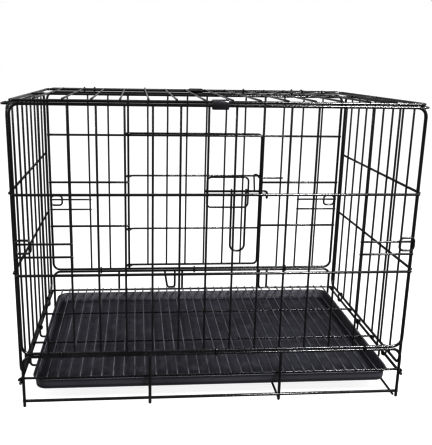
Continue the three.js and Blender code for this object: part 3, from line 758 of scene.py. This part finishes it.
def tray_piece():
    """The tray as one skin: rolled rim, sloping walls, a gutter and a raised, ridged floor.
    The profile gives distances in from the outline and heights."""
    shape = Shape()
    profile = [
        (5.2, TRAY_BOTTOM),
        (4.5, TRAY_BOTTOM + 0.3),
        (4.1, TRAY_BOTTOM + 1.1),
        (2.9, TRAY_TOP - 3.4),
        (2.5, TRAY_TOP - 2.8),
        (0.7, TRAY_TOP - 2.4),
        (0.15, TRAY_TOP - 2.1),
        (0.0, TRAY_TOP - 1.5),
        (0.3, TRAY_TOP - 0.5),
        (1.1, TRAY_TOP),
        (3.6, TRAY_TOP),
        (4.6, TRAY_TOP - 0.4),
        (5.2, TRAY_TOP - 1.4),
        (7.0, TRAY_GUTTER + 2),
        (7.6, TRAY_GUTTER + 0.8),
        (8.8, TRAY_GUTTER + 0.1),
        (10.2, TRAY_GUTTER),
        (18.0, TRAY_GUTTER),
        (19.2, TRAY_GUTTER + 0.3),
        (20.1, TRAY_GUTTER + 1.2),
        (21.2, TRAY_FLOOR - 0.7),
        (22.0, TRAY_FLOOR - 0.2),
        (23.4, TRAY_FLOOR),
        (27.0, TRAY_FLOOR),
        (28.6, TRAY_FLOOR + 0.5),
        (30.2, TRAY_FLOOR + 0.5),
        (31.8, TRAY_FLOOR),
    ]
    rings = [tray_ring(shape, inset, z) for inset, z in profile]
    for a, b in zip(rings, rings[1:]):
        shape.bridge(a, b)
    shape.faces.append(tuple(rings[-1]))
    shape.faces.append(tuple(reversed(rings[0])))
    return shape


tray_piece().object("tray_moulding", TRAY_PLASTIC, "tray", "tray", "tray_plastic")

# ---- lid ---------------------------------------------------------------------------


def lid_grid():
    """The lid laid out flat: its frame, one bar below, its wires, and curls round the rod."""
    shape = Shape()
    corners = [v3(x, LID_FRONT, LID_Z) for x in (LID_HALF, -LID_HALF)]
    corners += [v3(x, LID_BACK, LID_Z) for x in (-LID_HALF, LID_HALF)]
    shape.wire(rounded(corners, 7, 7, True), FRAME_R, 12, True)
    across(shape, -LID_HALF - 1, LID_HALF + 1, 0, LID_BAR_Z, BAR_R)
    wires = [x + LID_SHIFT for x in LONG_UPRIGHTS]
    for x in wires:
        ends = [v3(x, y, LID_WIRE_Z) for y in (LID_BACK - 0.4, LID_FRONT + 0.4)]
        shape.wire(wavy(ends[0], ends[1], 0.2), WIRE_R)
        for y, radius in ((LID_BACK, FRAME_R), (0, BAR_R), (LID_FRONT, FRAME_R)):
            shape.weld(x, y, LID_WIRE_Z - WIRE_R + 0.3, X, Y, radius, WIRE_R)
    for i in (1, 4, 9, 12):
        curl = arc(v3(wires[i], ROD_Y, ROD_Z), Y, Z, CURL_R, 165, -125, 20)
        shape.wire([v3(wires[i], LID_FRONT - 1, LID_Z), *curl], CURL_WIRE_R)
    return shape


rod = Shape()
across(rod, -ROD_HALF + 1, ROD_HALF - 1, ROD_Y, ROD_Z, ROD_R)
rod.object("hinge_rod_wire", FRAME_COAT, "hinge_rod", "lid_hinge_rod")
lid_grid().lean().object("lid_grille", FRAME_COAT, "lid", "lid")

for name, x in (("left", LID_SHIFT - 5 * PITCH), ("right", LID_SHIFT + 5 * PITCH)):
    shape = oval_ring(v3(x, PANEL_Y, FRONT_TOP), v3(x, ROD_Y, ROD_Z), ROD_R + GAP + RING_R, X)
    shape.object(f"{name}_clip_wire", WIRE_COAT, "front", f"lid_hinge_clip_{name}")


def wide_clip(x0, x1):
    """A strap of sheet metal bent round the panel's top wire and the hinge rod, with
    softened edges."""
    shape = Shape()
    a, b = v3(0, PANEL_Y, FRONT_TOP), v3(0, ROD_Y, ROD_Z)
    along = (b - a).normalized()
    up = X.cross(along)
    loops = []
    for radius in (ROD_R + GAP, ROD_R + GAP + STRAP_THICKNESS):
        for x in (x0, x1):
            offset = X * x
            points = arc(a, along, up, radius, 90, 270, 12) + arc(b, along, up, radius, 270, 450, 12)
            loops.append([p + offset for p in points])
    inner0, inner1, outer0, outer1 = loops
    edge0 = [p.lerp(q, 0.25) for p, q in zip(outer0, inner0)]
    face0 = [p.lerp(q, 0.12) for p, q in zip(outer0, outer1)]
    face1 = [q.lerp(p, 0.12) for p, q in zip(outer0, outer1)]
    edge1 = [p.lerp(q, 0.25) for p, q in zip(outer1, inner1)]
    rings = [shape.ring(r) for r in (inner0, edge0, face0, face1, edge1, inner1)]
    for p, q in zip(rings, rings[1:] + rings[:1]):
        shape.bridge(p, q)
    return shape


wide_clip(-17, 10).object("middle_clip_strap", FRAME_COAT, "front", "lid_hinge_clip_middle")


def lid_catch():
    """The moulded catch astride the lid's back wire: a saddle with rounded ends and a lip."""
    slot = FRAME_R + GAP
    lip = [(-6, -9.5), (-5.2, -9.9), (-4.3, -9.7), (-3.6, -8.9), (-3.2, -5.5)]
    cradle = [(-slot, -2), (-slot, 0)]
    for angle in range(160, 19, -20):
        a = math.radians(angle)
        cradle.append((slot * math.cos(a), slot * math.sin(a)))
    cradle += [(slot, 0), (slot, -2)]
    crown = [(4.4, -2), (4.4, 1.5), (3.9, 2.8), (2.5, 3.8), (0, 4), (-3, 4), (-4.9, 2.9), (-5.9, 1)]
    half = LID_CATCH_LENGTH / 2
    ends = ((half, 0.86), (half - 0.5, 0.95), (half - 1.5, 1))
    spans = [(-x, share) for x, share in ends] + list(reversed(ends))
    centre_y, centre_z = -1.5, -1
    shape = Shape()
    rings = []
    for x, share in spans:
        row = []
        for y, z in lip + cradle + crown:
            k = 1 if (y, z) in cradle else share
            y, z = centre_y + (y - centre_y) * k, centre_z + (z - centre_z) * k
            row.append(v3(LID_CATCH_X + x, LID_BACK + y, LID_Z + z))
        rings.append(shape.ring(row))
    for p, q in zip(rings, rings[1:]):
        shape.bridge(p, q)
    shape.faces.append(tuple(rings[0]))
    shape.faces.append(tuple(reversed(rings[-1])))
    return shape


lid_catch().lean().object("lid_catch_moulding", CATCH_PLASTIC, "lid", "lid_catch", "catch_plastic")

# ---- door and bolt -----------------------------------------------------------------


def hinge_curl(z):
    """Three quarters of a turn round the hinge post, ending in the door's plane."""
    return arc(v3(HINGE_X, PANEL_Y, z), X, Y, DOOR_Y - PANEL_Y, 345, 90, 16)


def door_grid():
    """The door: a frame whose ends curl round the hinge post, uprights and two bars."""
    shape = Shape()
    corners = rectangle(HINGE_X, DOOR_RIGHT, DOOR_TOP, DOOR_BOTTOM, DOOR_Y)
    edge = rounded(corners, 9, 7)[1:-1]
    shape.wire(hinge_curl(DOOR_TOP) + edge + hinge_curl(DOOR_BOTTOM)[::-1], DOOR_R, 12)
    for x in OPENING:
        upright(shape, x, DOOR_Y, DOOR_BOTTOM, DOOR_TOP, WIRE_R, 0.15)
        for z in (DOOR_BOTTOM + 1.4, DOOR_TOP - 1.4):
            shape.weld(x, DOOR_Y, z, X, Y, WIRE_R, WIRE_R)
    for z in DOOR_BARS:
        straight = [v3(x, DOOR_BAR_Y, z) for x in (HINGE_X + 12, DOOR_RIGHT + 1)]
        shape.wire(hinge_curl(z) + straight, DOOR_BAR_R)
        for x in OPENING + [DOOR_RIGHT]:
            shape.weld(x, DOOR_Y + WIRE_R - WELD / 2, z, X, Z, DOOR_BAR_R, WIRE_R)
    return shape


def door_keeper():
    """A bent wire on the front panel's inner side, near the bolt's tip."""
    shape = Shape()
    y = PANEL_Y - POST_R - GAP - WIRE_R
    level = BOLT_Z + 31.5
    corners = ((183, level), (134, level), (128, level + 8), (122, level + 7), (124.5, BOLT_Z + 2))
    shape.wire(rounded([v3(x, y, z) for x, z in corners], 3, 6), WIRE_R)
    return shape


def bolt_guide():
    """A rounded rectangle of wire with a staple over the bolt at each side."""
    shape = Shape()
    outline = rectangle(GUIDE_X[0], GUIDE_X[1], GUIDE_Z[0], GUIDE_Z[1], GUIDE_Y)
    shape.wire(rounded(outline, 9, 8, True), GUIDE_R, 10, True)
    for x in GUIDE_X:
        top = v3(x, GUIDE_Y + 0.6, BOLT_Z + STAPLE_REACH)
        bottom = v3(x, GUIDE_Y + 0.6, BOLT_Z - STAPLE_REACH)
        over = arc(v3(x, BOLT_Y, BOLT_Z), Z, Y, STAPLE_REACH, 0, 180, 14)
        shape.wire([top, *over, bottom], STAPLE_R)
        for z in (top.z, bottom.z):
            shape.weld(x, GUIDE_Y + 1.0, z, X, Z, STAPLE_R, GUIDE_R)
    return shape


def bolt():
    shape = Shape()
    corners = ((BOLT_X[0] + 1, BOLT_Z), (BOLT_X[1], BOLT_Z), (BOLT_X[1], BOLT_Z - BOLT_TIP + 1.2))
    shape.wire(rounded([v3(x, BOLT_Y, z) for x, z in corners], 5, 8), BOLT_R, 14)
    return shape


def bolt_handle():
    """A long U of wire hanging from the bolt by two eyes, each closed with a nugget."""
    shape = Shape()
    tops = [v3(x, BOLT_Y, BOLT_Z - HANDLE_EYE) for x in HANDLE_X]
    feet = [v3(x, BOLT_Y, HANDLE_BOTTOM) for x in HANDLE_X]
    shape.wire(rounded([tops[0], feet[0], feet[1], tops[1]], 14, 11), HANDLE_R, 12)
    for x in HANDLE_X:
        shape.wire(arc(v3(x, BOLT_Y, BOLT_Z), Y, Z, HANDLE_EYE, 0, 342, 19), HANDLE_R - 0.5, 10, True)
        shape.nugget(v3(x, BOLT_Y, BOLT_Z - HANDLE_EYE - 0.6), X, Y, (1.7, 1.7, 1.5))
    return shape


door_grid().object("door_grille", FRAME_COAT, "door", "door")
door_keeper().object("keeper_wire", FRAME_COAT, "front", "door_keeper")
bolt_guide().object("guide_wire", FRAME_COAT, "door", "bolt_guide")
bolt().object("bolt_rod", FRAME_COAT, "bolt", "bolt")
bolt_handle().object("handle_wire", FRAME_COAT, "handle", "bolt_handle")

# ---- studio ------------------------------------------------------------------------


def ground():
    """A wide white floor, just under the crate's feet."""
    mesh = bpy.data.meshes.new("studio_floor")
    size = 14
    corners = [(-size, -size, 0), (size, -size, 0), (size, size, 0), (-size, size, 0)]
    mesh.from_pydata(corners, [], [(0, 1, 2, 3)])
    made = bpy.data.objects.new("studio_floor", mesh)
    bpy.context.scene.collection.objects.link(made)
    made.location.z = -0.0006
    m = Nodes("pale_floor")
    m.set(Roughness=0.9, Specular_IOR_Level=0.1, Emission_Color=(1, 1, 1, 1), Emission_Strength=0.94)
    m.link(m.mix(m.spread(m.noise(3, 2), 0.3, 0.7), (0.05, 0.05, 0.05), (0.06, 0.06, 0.06)), "Base Color")
    mesh.materials.append(m.material)


def area_light(name, place, aim, size, power):
    light = bpy.data.lights.new(name, "AREA")
    light.shape = "RECTANGLE"
    light.size, light.size_y = size
    light.energy = power
    made = bpy.data.objects.new(name, light)
    made.location = place
    made.rotation_mode = "QUATERNION"
    made.rotation_quaternion = (Vector(aim) - Vector(place)).to_track_quat("-Z", "Y")
    bpy.context.scene.collection.objects.link(made)


ground()
area_light("key_softbox", (2.3, -0.6, 2.1), (0.1, 0, 0.2), (1.1, 1.6), 55)
area_light("side_strip", (-1.7, -0.7, 1.1), (-0.2, 0, 0.2), (0.3, 1.5), 45)
area_light("rim_softbox", (0.75, -1.15, 1.4), (0.1, 0, 0.25), (0.6, 0.35), 95)
area_light("top_softbox", (-0.6, 0.3, 2.6), (0, 0, 0.2), (2.2, 1.8), 38)
world = bpy.data.worlds.new("studio_world")
world.use_nodes = True
world.node_tree.nodes["Background"].inputs["Color"].default_value = (1, 1, 1, 1)
world.node_tree.nodes["Background"].inputs["Strength"].default_value = 1.0
bpy.context.scene.world = world
bpy.context.scene.view_settings.view_transform = "Standard"
bpy.context.scene.view_settings.gamma = 0.45

# ---- camera ------------------------------------------------------------------------

FOCAL_PIXELS = 644.96
LONG_SIDE_PIXELS = 445
SENSOR_MM = 36
CAMERA_PLACE = (-0.12348, -1.12217 + SHIFT_Y / 1000, 0.54079)
TILT, YAW, ROLL = math.radians(-14.999), math.radians(-5.084), math.radians(-1.019)
SHIFT = (0.0534, 0.0071)

camera_data = bpy.data.cameras.new("camera")
camera_data.sensor_width = SENSOR_MM
camera_data.lens = FOCAL_PIXELS / LONG_SIDE_PIXELS * SENSOR_MM
camera_data.shift_x, camera_data.shift_y = SHIFT
camera_data.clip_start = 0.05
camera_data.clip_end = 60
camera = bpy.data.objects.new("camera", camera_data)
bpy.context.scene.collection.objects.link(camera)
turn = Matrix.Rotation(YAW, 3, "Z") @ Matrix.Rotation(TILT, 3, "X") @ Matrix.Rotation(ROLL, 3, "Y")
look = turn @ Matrix.Rotation(math.pi / 2, 3, "X")
camera.rotation_mode = "QUATERNION"
camera.rotation_quaternion = look.to_quaternion()
camera.location = CAMERA_PLACE
bpy.context.scene.camera = camera
